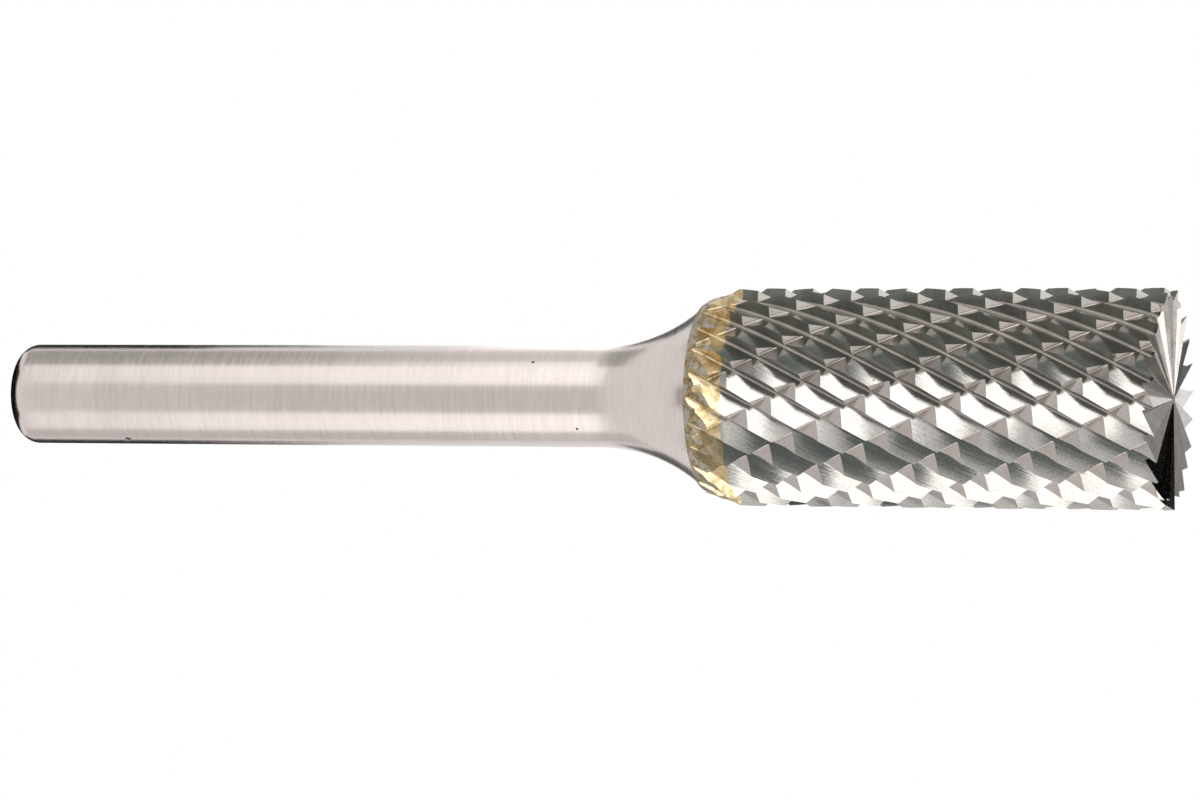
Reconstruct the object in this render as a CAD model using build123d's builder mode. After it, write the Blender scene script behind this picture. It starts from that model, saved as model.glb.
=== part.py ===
"""Cylindrical carbide burr: a double-cut carbide head with an end cut, brazed to a round steel shank.

The burr stands on its end teeth. +Z runs from the end teeth up the axis to the free end of the shank,
and the origin is the centre of the end face. Lengths are in millimetres and angles in degrees.
"""

from build123d import *
import math
import os

# Shank
SHANK_DIA = 6.0
OVERALL_LENGTH = 70.9
END_ROUND = 1.1        # radius round the shank's free end
END_STEPS = 4          # cones that the round is turned in, within 0.02 mm of the arc
NECK_ARC = 10.0        # radius of the hollow flare between shank and collar
NECK_STEPS = 6         # cones that the flare is turned in, within 0.02 mm of the arc
COLLAR_DIA = 10.8      # end of the flare, which the braze seats on

# Cutting head
HEAD_DIA = 12.7
HEAD_LENGTH = 25.2

# Braze between the two
FILM = 0.3             # braze between the collar's flat end and the back of the head
FILLET_LENGTH = 2.3    # braze that climbs the side of the collar, measured from the head
FILLET_LIP = 0.1       # thickness of the braze where it ends on the collar
LAND_LENGTH = 0.4      # braze ground to the full head diameter
BEVEL_LENGTH = 0.6     # steep bevel behind that land
BEVEL_DROP = 0.35      # how far the bevel comes down

# Flutes: a right-hand cut that leaves each tooth a steep front and a long back
FLUTES = 24
FLUTE_HELIX = 30.0
FLUTE_DEPTH = 0.62
FLUTE_FRONT = 0.16     # share of the pitch under the steep front
FLUTE_START = 10.7     # where the first crest meets the end face

# Cross cuts: a left-hand cut, a little shallower, that breaks each crest into teeth
CROSS_CUTS = 13
CROSS_HELIX = 30.0
CROSS_DEPTH = 0.43
CROSS_BACK = 0.43      # share of the pitch under the long side
CROSS_FRONT = 0.05     # share of the pitch under the short side
CROSS_START = 27.4     # where the first cut's bottom meets the end face

# End cut: one gash for each flute
GASH_DEPTH = 0.85      # at the rim
GASH_FRONT = 0.14      # share of the pitch under the gash's steep side
GASH_HUB = 0.35        # radius at the centre where the gashes run out

CLEAR = 0.2            # how far a cutting tool stands clear of the work

HEAD_R = HEAD_DIA / 2
COLLAR_R = COLLAR_DIA / 2
SHANK_R = SHANK_DIA / 2
COLLAR_END = HEAD_LENGTH + FILM
FILLET_END = HEAD_LENGTH + FILLET_LENGTH
FLARE_TURN = math.acos(1 - (COLLAR_R - SHANK_R) / NECK_ARC)
FLARE_END = FILLET_END + NECK_ARC * math.sin(FLARE_TURN)


def polar(radius, angle):
    return (radius * math.cos(math.radians(angle)), radius * math.sin(math.radians(angle)))


def twist_rate(helix):
    """Degrees of turn for each millimetre along the axis."""
    return math.degrees(math.tan(math.radians(helix)) / HEAD_R)


def fluted_outline(turned):
    """One point at each crest and one at each flute's root."""
    pitch = 360 / FLUTES
    points = []
    for tooth in range(FLUTES):
        crest = FLUTE_START + turned + tooth * pitch
        points.append(polar(HEAD_R, crest))
        points.append(polar(HEAD_R - FLUTE_DEPTH, crest + (1 - FLUTE_FRONT) * pitch))
    return points


def crossed_outline(turned):
    """A vee at each cross cut, carried out past the head, with the land between them left clear."""
    pitch = 360 / CROSS_CUTS
    over = 1 + CLEAR / CROSS_DEPTH
    points = []
    for cut in range(CROSS_CUTS):
        bottom = CROSS_START + turned + cut * pitch
        points.append(polar(HEAD_R + CLEAR, bottom - CROSS_BACK * over * pitch))
        points.append(polar(HEAD_R - CROSS_DEPTH, bottom))
        points.append(polar(HEAD_R + CLEAR, bottom + CROSS_FRONT * over * pitch))
    return points


def twisted_bar(outline, helix, left_hand, start, length):
    """A bar of the given outline, twisted about the axis from start upwards."""
    turned = twist_rate(helix) * start * (-1 if left_hand else 1)
    lead = 360 / twist_rate(helix)
    with BuildPart() as bar:
        with BuildLine(Plane.XY.offset(start)) as axis:
            Line((0, 0, 0), (0, 0, length))
        with BuildLine(Plane.XY.offset(start)) as guide:
            Helix(pitch=lead, height=length, radius=HEAD_R, lefthand=left_hand)
        with BuildSketch(Plane.XY.offset(start)):
            with BuildLine():
                Polyline(*outline(turned), close=True)
            make_face()
        sweep(path=axis.line, binormal=guide.edge())
    return bar.part


def end_gash():
    """The tool that cuts one gash, a vee that starts at the hub and deepens towards the rim, along +X."""
    pitch = math.radians(360 / FLUTES)
    with BuildPart() as gash:
        for reach in (GASH_HUB, HEAD_R + CLEAR):
            width = pitch * reach
            depth = GASH_DEPTH * reach / HEAD_R
            with BuildSketch(Plane(origin=(reach, 0, 0), x_dir=(0, 1, 0), z_dir=(1, 0, 0))):
                with BuildLine():
                    Polyline(
                        (-width / 2, 0),
                        (width / 2, 0),
                        (width * (0.5 - GASH_FRONT), depth),
                        close=True,
                    )
                make_face()
        loft()
    return gash.part


# Steel shank with its flared neck and the collar inside the braze
profile = [(0, OVERALL_LENGTH), (0, COLLAR_END), (COLLAR_R, COLLAR_END)]
for step in range(NECK_STEPS + 1):
    turn = FLARE_TURN * (1 - step / NECK_STEPS)
    profile.append((SHANK_R + NECK_ARC * (1 - math.cos(turn)), FLARE_END - NECK_ARC * math.sin(turn)))
for step in range(END_STEPS + 1):
    turn = math.pi / 2 * step / END_STEPS
    profile.append(
        (
            SHANK_R - END_ROUND * (1 - math.cos(turn)),
            OVERALL_LENGTH - END_ROUND * (1 - math.sin(turn)),
        )
    )
with BuildPart() as shank:
    with BuildSketch(Plane.XZ):
        with BuildLine():
            Polyline(*profile, close=True)
        make_face()
    revolve(axis=Axis.Z)
shank.part.label = "shank"

# Carbide head: the flutes, then the end gashes, then the cross cuts through both
with BuildPart() as cutting_head:
    add(twisted_bar(fluted_outline, FLUTE_HELIX, False, 0, HEAD_LENGTH))
    with PolarLocations(0, FLUTES, start_angle=FLUTE_START + 180 / FLUTES):
        add(end_gash(), mode=Mode.SUBTRACT)
    add(twisted_bar(crossed_outline, CROSS_HELIX, True, 0, HEAD_LENGTH), mode=Mode.INTERSECT)
cutting_head.part.label = "cutting_head"

# Braze: a film behind the head and a fillet up the collar, cut by the same flutes and cross cuts
with BuildPart() as braze_joint:
    with BuildSketch(Plane.XZ):
        with BuildLine():
            Polyline(
                (0, HEAD_LENGTH),
                (HEAD_R + BEVEL_DROP * LAND_LENGTH / BEVEL_LENGTH, HEAD_LENGTH),
                (HEAD_R - BEVEL_DROP, HEAD_LENGTH + LAND_LENGTH + BEVEL_LENGTH),
                (COLLAR_R + FILLET_LIP, FILLET_END),
                (COLLAR_R, FILLET_END),
                (COLLAR_R, COLLAR_END),
                (0, COLLAR_END),
                close=True,
            )
        make_face()
    revolve(axis=Axis.Z)
    add(
        twisted_bar(fluted_outline, FLUTE_HELIX, False, HEAD_LENGTH, FILLET_LENGTH + CLEAR),
        mode=Mode.INTERSECT,
    )
    add(
        twisted_bar(crossed_outline, CROSS_HELIX, True, HEAD_LENGTH, FILLET_LENGTH + CLEAR),
        mode=Mode.INTERSECT,
    )
braze_joint.part.label = "braze_joint"

os.makedirs("parts", exist_ok=True)
for piece in (shank, cutting_head, braze_joint):
    export_step(piece.part, f"parts/{piece.part.label}.step")
    print(piece.part.label, round(piece.part.volume, 2), "mm3")
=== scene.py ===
# %% [markdown]
# # A carbide burr
# A burr is a small rotary file. A carbide head full of ground teeth is brazed to a round steel shank, which
# a die grinder's collet grips. Here it stands on its end teeth, with its axis along Z.
#
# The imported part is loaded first. It fixes where everything is, so the pieces made below go straight into
# its place, in metres.

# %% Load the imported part
import math

import bmesh
import bpy
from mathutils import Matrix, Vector


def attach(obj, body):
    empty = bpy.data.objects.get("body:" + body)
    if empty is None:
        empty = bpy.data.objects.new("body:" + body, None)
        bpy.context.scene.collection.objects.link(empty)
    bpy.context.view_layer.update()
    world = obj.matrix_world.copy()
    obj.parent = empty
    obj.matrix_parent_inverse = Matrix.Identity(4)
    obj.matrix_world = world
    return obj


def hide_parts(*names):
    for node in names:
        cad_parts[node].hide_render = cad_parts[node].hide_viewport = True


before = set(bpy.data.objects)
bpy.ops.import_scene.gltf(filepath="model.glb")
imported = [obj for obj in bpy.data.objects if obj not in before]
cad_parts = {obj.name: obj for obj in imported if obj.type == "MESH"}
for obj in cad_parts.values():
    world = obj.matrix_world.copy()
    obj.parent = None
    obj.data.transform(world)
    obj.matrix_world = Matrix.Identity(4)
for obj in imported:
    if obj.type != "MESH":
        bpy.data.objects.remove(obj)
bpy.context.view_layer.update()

MM = 0.001

# %% [markdown]
# ## The sizes that every step shares
# Lengths are in millimetres, heights are measured up from the end teeth, and angles are in degrees. The
# flutes are a right-hand helix and the cross cuts a left-hand one, both at 30 degrees to the axis, so at
# each millimetre of height a cut has gone round by the same small turn, one way or the other.

# %% Shared sizes
HEAD_R = 6.35
HEAD_TOP = 25.2      # back of the carbide
SEAM_TOP = 27.5      # where the braze ends on the collar
SHANK_R = 3.0
BURR_TOP = 70.9      # free end of the shank
HELIX = 30.0
TURN = math.degrees(math.tan(math.radians(HELIX)) / HEAD_R)
print("a cut goes round", round(TURN, 2), "degrees in each millimetre")

# %% [markdown]
# ## Two small helpers
# The first adds a node to any tree. It sets what it is told to and fills the inputs, in order or by name,
# with values, sockets or other nodes. An input that takes several links is given a list of them. A node
# stands for its first output, so a tree reads as a list of steps, and no kind of node needs a function of
# its own. The kinds that come up most have a short name.
#
# The second helper turns a colour as written on the web into the linear values that the renderer works in.

# %% Helpers
MATH = "ShaderNodeMath"
VECTOR_MATH = "ShaderNodeVectorMath"
MAP_RANGE = "ShaderNodeMapRange"    # value, from low, from high, to low, to high; held level outside them
MIX = "ShaderNodeMix"
NOISE = "ShaderNodeTexNoise"
STORE = "GeometryNodeStoreNamedAttribute"
BOOLEAN = "GeometryNodeMeshBoolean"


def node(tree, kind, feeds=(), **settings):
    made = tree.nodes.new(kind)
    for name, value in settings.items():
        setattr(made, name, value)
    pairs = feeds.items() if isinstance(feeds, dict) else enumerate(feeds)
    for name, given in pairs:
        socket = made.inputs[name]
        for source in given if socket.is_multi_input else [given]:
            if isinstance(source, bpy.types.Node):
                source = source.outputs[0]
            if isinstance(source, bpy.types.NodeSocket):
                tree.links.new(source, socket)
            else:
                socket.default_value = source
    return made


def linear(hex_colour):
    parts = [int(hex_colour[i : i + 2], 16) / 255 for i in (1, 3, 5)]
    return [c / 12.92 if c <= 0.04045 else ((c + 0.055) / 1.055) ** 2.4 for c in parts] + [1.0]


print("middle grey #808080 is", round(linear("#808080")[0], 3), "in linear light")

# %% [markdown]
# ## One twisted bar for both kinds of cut
# A grinding wheel leaves a groove with two straight flanks, and an indexing head repeats it round the blank
# while the blank turns and travels. What is left is a bar whose outline is the same at every height, only
# turned. It could be swept as a curve's profile, but a curve twists its profile by its own rules. So one
# Geometry Nodes group makes both the fluted bar and the cross-cut bar: it takes a plain cylinder, moves
# each point to the outline's radius, and turns it by its height.
#
# The points are not spread evenly. Each pitch of the cylinder has the same number of them, and they are
# moved round so that most of them go where the root and the steep front are.

# %% Where a point lies in its groove
EDGE_NUDGE = 0.001    # share of a pitch that keeps rounding from putting a crest in the wrong groove


def place_in_groove(tree, given, x, y):
    """The number of the point's groove, and its angle from that groove's crest or bottom."""
    angle = node(tree, MATH, (y, x), operation="ARCTAN2")
    pitches = node(tree, MATH, (angle, given["Pitch"]), operation="DIVIDE")
    pitches = node(tree, MATH, (pitches, EDGE_NUDGE), operation="ADD")
    number = node(tree, MATH, (pitches,), operation="FLOOR")
    share = node(tree, MATH, (pitches,), operation="FRACT")

    # Three stretches of the pitch, each with its own share of the points
    to_root = given["Points to root"]
    past_root = given["Points past root"]
    first = node(tree, MATH, (given["Before"], -1.0), operation="MULTIPLY")
    last = node(tree, MATH, (first, given["Pitch"]), operation="ADD")
    root_span = node(tree, MATH, (given["Root to"], given["Root from"]), operation="SUBTRACT")
    rest = node(tree, MATH, (last, given["Root to"]), operation="SUBTRACT")
    before_root = node(tree, MAP_RANGE, (share, 0.0, to_root, first, given["Root from"]))
    in_root = node(tree, MAP_RANGE, (share, to_root, past_root, 0.0, root_span))
    after_root = node(tree, MAP_RANGE, (share, past_root, 1.0, 0.0, rest))
    local = node(tree, MATH, (before_root, in_root), operation="ADD")
    return number, node(tree, MATH, (local, after_root), operation="ADD")


# %% [markdown]
# A straight flank is simple in polar terms. With its distance from the axis and the direction in which it
# is nearest, its radius at any angle is distance / cos(angle - direction). The groove is the larger of its
# two flanks, and between two angles it follows a circle instead, the rounded root that the wheel's worn
# corner leaves.

# %% The outline's radius
def outline_radius(tree, given, local):
    flanks = []
    for side in ("A", "B"):
        lean = node(tree, MATH, (local, given[f"Flank {side} direction"]), operation="SUBTRACT")
        cosine = node(tree, MATH, (lean,), operation="COSINE")
        flanks.append(node(tree, MATH, (given[f"Flank {side} distance"], cosine), operation="DIVIDE"))
    vee = node(tree, MATH, flanks, operation="MAXIMUM")

    # The near side of the root's circle, seen from the axis
    lean = node(tree, MATH, (local, given["Root direction"]), operation="SUBTRACT")
    cosine = node(tree, MATH, (lean,), operation="COSINE")
    sine = node(tree, MATH, (lean,), operation="SINE")
    toward = node(tree, MATH, (given["Root centre"], cosine), operation="MULTIPLY")
    aside = node(tree, MATH, (given["Root centre"], sine), operation="MULTIPLY")
    radius_squared = node(tree, MATH, (given["Root radius"], given["Root radius"]), operation="MULTIPLY")
    aside_squared = node(tree, MATH, (aside, aside), operation="MULTIPLY")
    chord_squared = node(tree, MATH, (radius_squared, aside_squared), operation="SUBTRACT")
    chord_squared = node(tree, MATH, (chord_squared, 0.0), operation="MAXIMUM")
    half_chord = node(tree, MATH, (chord_squared,), operation="SQRT")
    circle = node(tree, MATH, (toward, half_chord), operation="SUBTRACT")

    after = node(tree, MATH, (local, given["Root from"]), operation="GREATER_THAN")
    before = node(tree, MATH, (local, given["Root to"]), operation="LESS_THAN")
    is_root = node(tree, MATH, (after, before), operation="MULTIPLY")
    shape = node(tree, MIX, {"Factor": is_root, "A": vee, "B": circle})
    return node(tree, MATH, (shape, given["Most radius"]), operation="MINIMUM")


# %% [markdown]
# The part of the wheel that ground a face decides how it shines. So while the blank is still round, each of
# its faces is given a number: one for the first flank, one for the rough end of the root, and one for the
# other flank. The number stays with the face through every later cut.

# %% The number of a face
def face_number(tree, given, local):
    rough = node(tree, MATH, (local, given["Rough from"]), operation="GREATER_THAN")
    past = node(tree, MATH, (local, given["Root to"]), operation="GREATER_THAN")
    number = node(tree, MIX, {"Factor": rough, "A": given["Mark A"], "B": given["Mark root"]})
    number = node(tree, MIX, {"Factor": past, "A": number, "B": given["Mark B"]})
    return node(tree, MATH, (number,), operation="ROUND")


# %% The group that makes a twisted bar
WHOLE_INPUTS = ("Grooves", "Points in a pitch", "Rings", "Mark A", "Mark root", "Mark B")
SIZE_INPUTS = (
    "Pitch", "Start", "Turn", "Before", "Flank A distance", "Flank A direction", "Flank B distance",
    "Flank B direction", "Root radius", "Root centre", "Root direction", "Root from", "Root to",
    "Rough from", "Points to root", "Points past root", "Most radius", "Bottom", "Length",
)


def build_twisted_bar():
    tree = bpy.data.node_groups.new("twisted_bar", "GeometryNodeTree")
    for kind, names in (("NodeSocketInt", WHOLE_INPUTS), ("NodeSocketFloat", SIZE_INPUTS)):
        for name in names:
            tree.interface.new_socket(name, in_out="INPUT", socket_type=kind)
    tree.interface.new_socket("Bar", in_out="OUTPUT", socket_type="NodeSocketGeometry")
    given = node(tree, "NodeGroupInput").outputs

    # A plain cylinder, which stands from half its length below zero to half above it
    around = node(tree, MATH, (given["Grooves"], given["Points in a pitch"]), operation="MULTIPLY")
    blank = node(tree, "GeometryNodeMeshCylinder", {
        "Vertices": around, "Side Segments": given["Rings"], "Radius": 1.0, "Depth": given["Length"],
    }, fill_type="NGON")
    position = node(tree, "GeometryNodeInputPosition")
    x, y, z = node(tree, "ShaderNodeSeparateXYZ", (position,)).outputs
    half = node(tree, MATH, (given["Length"], 0.5), operation="MULTIPLY")
    height = node(tree, MATH, (z, half), operation="ADD")
    height = node(tree, MATH, (height, given["Bottom"]), operation="ADD")

    # The outline's radius, at an angle that turns with the height
    number, local = place_in_groove(tree, given, x, y)
    radius = outline_radius(tree, given, local)
    angle = node(tree, MATH, (number, given["Pitch"], local), operation="MULTIPLY_ADD")
    angle = node(tree, MATH, (height, given["Turn"], angle), operation="MULTIPLY_ADD")
    angle = node(tree, MATH, (angle, given["Start"]), operation="ADD")
    cosine = node(tree, MATH, (angle,), operation="COSINE")
    sine = node(tree, MATH, (angle,), operation="SINE")
    new_x = node(tree, MATH, (cosine, radius), operation="MULTIPLY")
    new_y = node(tree, MATH, (sine, radius), operation="MULTIPLY")
    place = node(tree, "ShaderNodeCombineXYZ", (new_x, new_y, height))

    feeds = {"Geometry": blank, "Name": "cut", "Value": face_number(tree, given, local)}
    numbered = node(tree, STORE, feeds, data_type="INT", domain="FACE")
    moved = node(tree, "GeometryNodeSetPosition", {"Geometry": numbered, "Position": place})
    node(tree, "NodeGroupOutput", {"Bar": moved})
    return tree


bar_group = build_twisted_bar()
print("twisted_bar takes", len(WHOLE_INPUTS) + len(SIZE_INPUTS), "inputs")

# %% [markdown]
# ## The flutes and the cross cuts
# The flutes have a long back that falls away from the cutting edge and a steep front under the next edge,
# with a rounded root between them. The cross cuts are a wide vee with one long side and one short side, a
# little shallower, and they leave about half of each crest standing as a tooth. Each flank is named by the
# two points that it joins, and the root's circle is the one of its radius that touches both flanks.

# %% From points to the group's inputs
def at(radius, angle):
    return Vector((radius * math.cos(math.radians(angle)), radius * math.sin(math.radians(angle))))


def flank(a, b):
    """The line through two points, as its distance from the axis and its direction outwards."""
    along = (b - a).normalized()
    across = Vector((along.y, -along.x))
    return a.dot(across), across


def groove(top_a, bottom, top_b, root_radius, polished):
    """The group's inputs for a vee between those points, with that share of the root's arc polished."""
    distance_a, out_a = flank(top_a, bottom)
    distance_b, out_b = flank(bottom, top_b)
    reach_a = distance_a + root_radius
    reach_b = distance_b + root_radius
    cross = out_a.x * out_b.y - out_a.y * out_b.x
    centre = Vector((reach_a * out_b.y - reach_b * out_a.y, reach_b * out_a.x - reach_a * out_b.x)) / cross
    touch_a = centre - out_a * root_radius
    touch_b = centre - out_b * root_radius
    root_from = math.atan2(touch_a.y, touch_a.x)
    root_to = math.atan2(touch_b.y, touch_b.x)
    return {
        "Flank A distance": distance_a * MM, "Flank A direction": math.atan2(out_a.y, out_a.x),
        "Flank B distance": distance_b * MM, "Flank B direction": math.atan2(out_b.y, out_b.x),
        "Root radius": root_radius * MM, "Root centre": centre.length * MM,
        "Root direction": math.atan2(centre.y, centre.x),
        "Root from": root_from, "Root to": root_to,
        "Rough from": root_from + (root_to - root_from) * polished,
    }


# %% Sizes of the cuts
FLUTES = 24
FLUTE_PITCH = 360 / FLUTES
FLUTE_START = 10.7                   # where the first crest meets the end face
FLUTE_DEPTH = 0.76                   # to where the flanks would meet; the rounded root is a little higher
FLUTE_BACK = 0.855 * FLUTE_PITCH     # what the long back takes of the pitch
FLUTE_ROOT_RADIUS = 0.14
FLUTE_ROOT_POLISHED = 0.1
FLUTE_POINTS = 24                    # points in a pitch
FLUTE_BACK_POINTS = 9
FLUTE_ROOT_POINTS = 10

CROSS_CUTS = 13
CROSS_PITCH = 360 / CROSS_CUTS
CROSS_START = 27.4                   # where the first cut's bottom meets the end face
CROSS_DEPTH = 0.62
CROSS_BACK = 0.44 * CROSS_PITCH      # under the long side
CROSS_FRONT = 0.055 * CROSS_PITCH    # under the short side
CROSS_BEFORE = 0.87 * CROSS_PITCH    # how far before its bottom a cut's share of the bar begins
CROSS_ROOT_RADIUS = 0.1
CROSS_ROOT_POLISHED = 0.0
CROSS_POINTS = 32
CROSS_BACK_POINTS = 16
CROSS_ROOT_POINTS = 10

CLEAR = 0.3                          # how far the cross cuts' bar stands out past the head
TIP_R = HEAD_R - 0.0005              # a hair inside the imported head
print(FLUTES, "flutes", FLUTE_PITCH, "degrees apart,", CROSS_CUTS, "cross cuts", round(CROSS_PITCH, 1))

# %% The inputs of each bar
BACK_FACE, ROOT_FACE, FRONT_FACE, CROSS_FACE, CROSS_ROOT, CROSS_STEEP, END_FACE, RAW_FACE = range(8)
BAR_INPUTS = {
    "flutes": {
        "Mark A": BACK_FACE, "Mark root": ROOT_FACE, "Mark B": FRONT_FACE,
        "Grooves": FLUTES, "Pitch": math.radians(FLUTE_PITCH), "Before": 0.0,
        "Start": math.radians(FLUTE_START), "Turn": math.radians(TURN) / MM,
        "Points in a pitch": FLUTE_POINTS, "Points to root": FLUTE_BACK_POINTS / FLUTE_POINTS,
        "Points past root": (FLUTE_BACK_POINTS + FLUTE_ROOT_POINTS) / FLUTE_POINTS,
        "Most radius": TIP_R * MM,
        **groove(at(TIP_R, 0), at(HEAD_R - FLUTE_DEPTH, FLUTE_BACK), at(TIP_R, FLUTE_PITCH),
                 FLUTE_ROOT_RADIUS, FLUTE_ROOT_POLISHED),
    },
    "cross cuts": {
        "Mark A": CROSS_FACE, "Mark root": CROSS_ROOT, "Mark B": CROSS_STEEP,
        "Grooves": CROSS_CUTS, "Pitch": math.radians(CROSS_PITCH), "Before": math.radians(CROSS_BEFORE),
        "Start": math.radians(CROSS_START), "Turn": -math.radians(TURN) / MM,
        "Points in a pitch": CROSS_POINTS, "Points to root": CROSS_BACK_POINTS / CROSS_POINTS,
        "Points past root": (CROSS_BACK_POINTS + CROSS_ROOT_POINTS) / CROSS_POINTS,
        "Most radius": (HEAD_R + CLEAR) * MM,
        **groove(at(HEAD_R, -CROSS_BACK), at(HEAD_R - CROSS_DEPTH, 0), at(HEAD_R, CROSS_FRONT),
                 CROSS_ROOT_RADIUS, CROSS_ROOT_POLISHED),
    },
}


def add_bar(tree, cut, bottom, length, rings):
    """The twisted bar of that cut, from a height in metres."""
    feeds = {**BAR_INPUTS[cut], "Bottom": bottom, "Length": length, "Rings": rings}
    return node(tree, "GeometryNodeGroup", feeds, node_tree=bar_group)


for cut, values in BAR_INPUTS.items():
    lowest = (values["Root centre"] - values["Root radius"]) / MM
    root = [round(math.degrees(values[end]), 1) for end in ("Root from", "Root to")]
    print(cut, "are cut down to radius", round(lowest, 2), "mm, with the root from", *root, "degrees")

# %% [markdown]
# ## Cutting, and a finish for each face
# Cutting away is what a Boolean does, and the Manifold solver is quick and leaves closed bodies. Where two
# bodies share a plane a Boolean is unsure of itself, so every cutter stands a little clear of the work. At
# the end of the tree each face gets its material from its number, and the edges between facets are kept
# sharp while the rounded root is shaded smooth.

# %% The end of a tree
def finished(tree, geometry, materials, crease):
    """Realised, smooth but for edges sharper than crease, and with a material for each number."""
    real = node(tree, "GeometryNodeRealizeInstances", (geometry,))
    smooth = node(tree, "GeometryNodeSetShadeSmooth", {"Geometry": real}, domain="FACE")
    angle = node(tree, "GeometryNodeInputMeshEdgeAngle").outputs["Unsigned Angle"]
    sharp = node(tree, "FunctionNodeCompare", (angle, crease), operation="GREATER_THAN")
    feeds = {"Geometry": smooth, "Selection": sharp, "Shade Smooth": False}
    out = node(tree, "GeometryNodeSetShadeSmooth", feeds, domain="EDGE")
    number = node(tree, "GeometryNodeInputNamedAttribute", {"Name": "cut"}, data_type="INT")
    for value, material in materials.items():
        feeds = {2: number, 3: value}    # the two inputs for whole numbers
        same = node(tree, "FunctionNodeCompare", feeds, data_type="INT", operation="EQUAL")
        feeds = {"Geometry": out, "Selection": same, "Material": material}
        out = node(tree, "GeometryNodeSetMaterial", feeds)
    node(tree, "NodeGroupOutput", (out,))


# %% [markdown]
# A tree's sizes are inputs with names, as on a bought asset. The modifier's own inputs are set by each
# socket's identifier before the tree is first run. The evaluated result is then copied to a plain mesh, and
# the object with the modifier is deleted, so that nothing live is left.

# %% Run a tree once
def named_inputs(tree, sizes):
    """An input on the tree for each of the sizes, and what they hand in."""
    for name, value in sizes.items():
        kind = "NodeSocketInt" if isinstance(value, int) else "NodeSocketFloat"
        tree.interface.new_socket(name, in_out="INPUT", socket_type=kind)
    return node(tree, "NodeGroupInput").outputs


def run_tree(tree, name, sizes, start_mesh=None):
    maker = bpy.data.objects.new(name + "_maker", start_mesh or bpy.data.meshes.new(name + "_start"))
    bpy.context.collection.objects.link(maker)
    modifier = maker.modifiers.new("make", "NODES")
    modifier.node_group = tree
    for item in tree.interface.items_tree:
        if item.name in sizes:
            modifier[item.identifier] = sizes[item.name]
    shape = maker.evaluated_get(bpy.context.evaluated_depsgraph_get())
    mesh = bpy.data.meshes.new_from_object(shape)
    bpy.data.objects.remove(maker)
    piece = bpy.data.objects.new(name, mesh)
    bpy.context.collection.objects.link(piece)
    size = [round(v / MM, 2) for v in piece.dimensions]
    print(name, "has", len(mesh.polygons), "faces and measures", size, "mm")
    return piece


# %% [markdown]
# ## Tungsten carbide, ground
# Carbide is hard grains held in cobalt. Ground, it is a grey mirror with fine streaks along the way the
# wheel ran, so its brightness is nearly all reflection. The streaks have to follow each helix. A texture
# painted on the unrolled face could do that, but here the object coordinates are turned back by the height,
# which makes the helix straight, and a noise that is long in Z and short across it is laid on that. The
# real streaks are a few hundredths of a millimetre wide. They are drawn as coarse as it takes to see them.

# %% Coordinates that follow the helix
NOISE_LOW = 0.3      # nearly all of a noise's values lie between these two
NOISE_HIGH = 0.7


def new_material(name):
    material = bpy.data.materials.new(name)
    material.use_nodes = True
    return material, material.node_tree


def helix_straightened(tree, place, turn):
    """The place turned back, so that a line along the helix keeps its X and Y."""
    z = node(tree, "ShaderNodeSeparateXYZ", (place,)).outputs["Z"]
    back = node(tree, MATH, (z, -math.radians(turn) / MM), operation="MULTIPLY")
    feeds = {"Vector": place, "Angle": back}
    return node(tree, "ShaderNodeVectorRotate", feeds, rotation_type="Z_AXIS")


# %% [markdown]
# The brazing spat a little flux on the head, which burnt to brown flecks. They are a few balls in space,
# each given by its centre and radius in millimetres, and a noise shifts the place that is compared with
# them, so that their edges come out ragged.

# %% Flecks of flux
FLECKS = (
    (3.45, -5.03, 22.74, 0.28), (1.17, -5.99, 15.96, 0.16), (-0.68, -6.06, 11.93, 0.18),
    (-1.59, -5.89, 13.12, 0.15), (4.95, -3.56, 3.76, 0.26), (2.45, -5.59, 2.43, 0.16),
    (-4.65, -3.95, 11.47, 0.15),
)
FLECK_COLOUR = "#6e4f22"
FLECK_SHIFT = 0.5     # the noise moves a place by up to this, and by half of it on average
FLECK_NOISE_MM = 0.2
FLECK_OUTER = 1.3     # a fleck fades in from this share of its radius
FLECK_INNER = 0.8     # and is full from this one


def flux_flecks(tree, place):
    """1 inside a fleck and 0 well outside them all."""
    feeds = {"Vector": place, "Scale": 1 / (FLECK_NOISE_MM * MM), "Detail": 2.0}
    noise = node(tree, NOISE, feeds).outputs["Color"]
    shift = node(tree, VECTOR_MATH, {0: noise, "Scale": FLECK_SHIFT * MM}, operation="SCALE")
    ragged = node(tree, VECTOR_MATH, (place, shift), operation="ADD")
    flecks = 0.0
    for x, y, z, radius in FLECKS:
        centre = tuple((v + FLECK_SHIFT / 2) * MM for v in (x, y, z))
        away = node(tree, VECTOR_MATH, (ragged, centre), operation="DISTANCE").outputs["Value"]
        outer = radius * FLECK_OUTER * MM
        inner = radius * FLECK_INNER * MM
        inside = node(tree, MAP_RANGE, (away, outer, inner, 0, 1))
        flecks = node(tree, MATH, (flecks, inside), operation="MAXIMUM")
    return flecks


print(len(FLECKS), "flecks, the largest", max(fleck[3] for fleck in FLECKS), "mm in radius")

# %% [markdown]
# One function makes every ground finish. Streaks vary the roughness and raise fine lines, a finer grain
# roughens it a little, and the two noises of grain and cloud lay a darker bloom of oil here and there.

# %% A ground metal
CLOUD_MM = 1.3           # size of the bloom's clouds
CLOUD_SHARE = 0.8        # their weight against the grain
BLOOM_NONE = 0.98        # grain and cloud together: clean metal above this
BLOOM_FULL = 0.78        # and all the bloom below this
STREAK_LENGTH = 0.03     # Z is squeezed to this, which draws the noise out along the helix
STREAK_SMOOTH = 0.8      # the streaks take the roughness from this share of it
STREAK_ROUGH = 1.25      # to this one
MARK_DEPTH = 0.01 * MM


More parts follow.
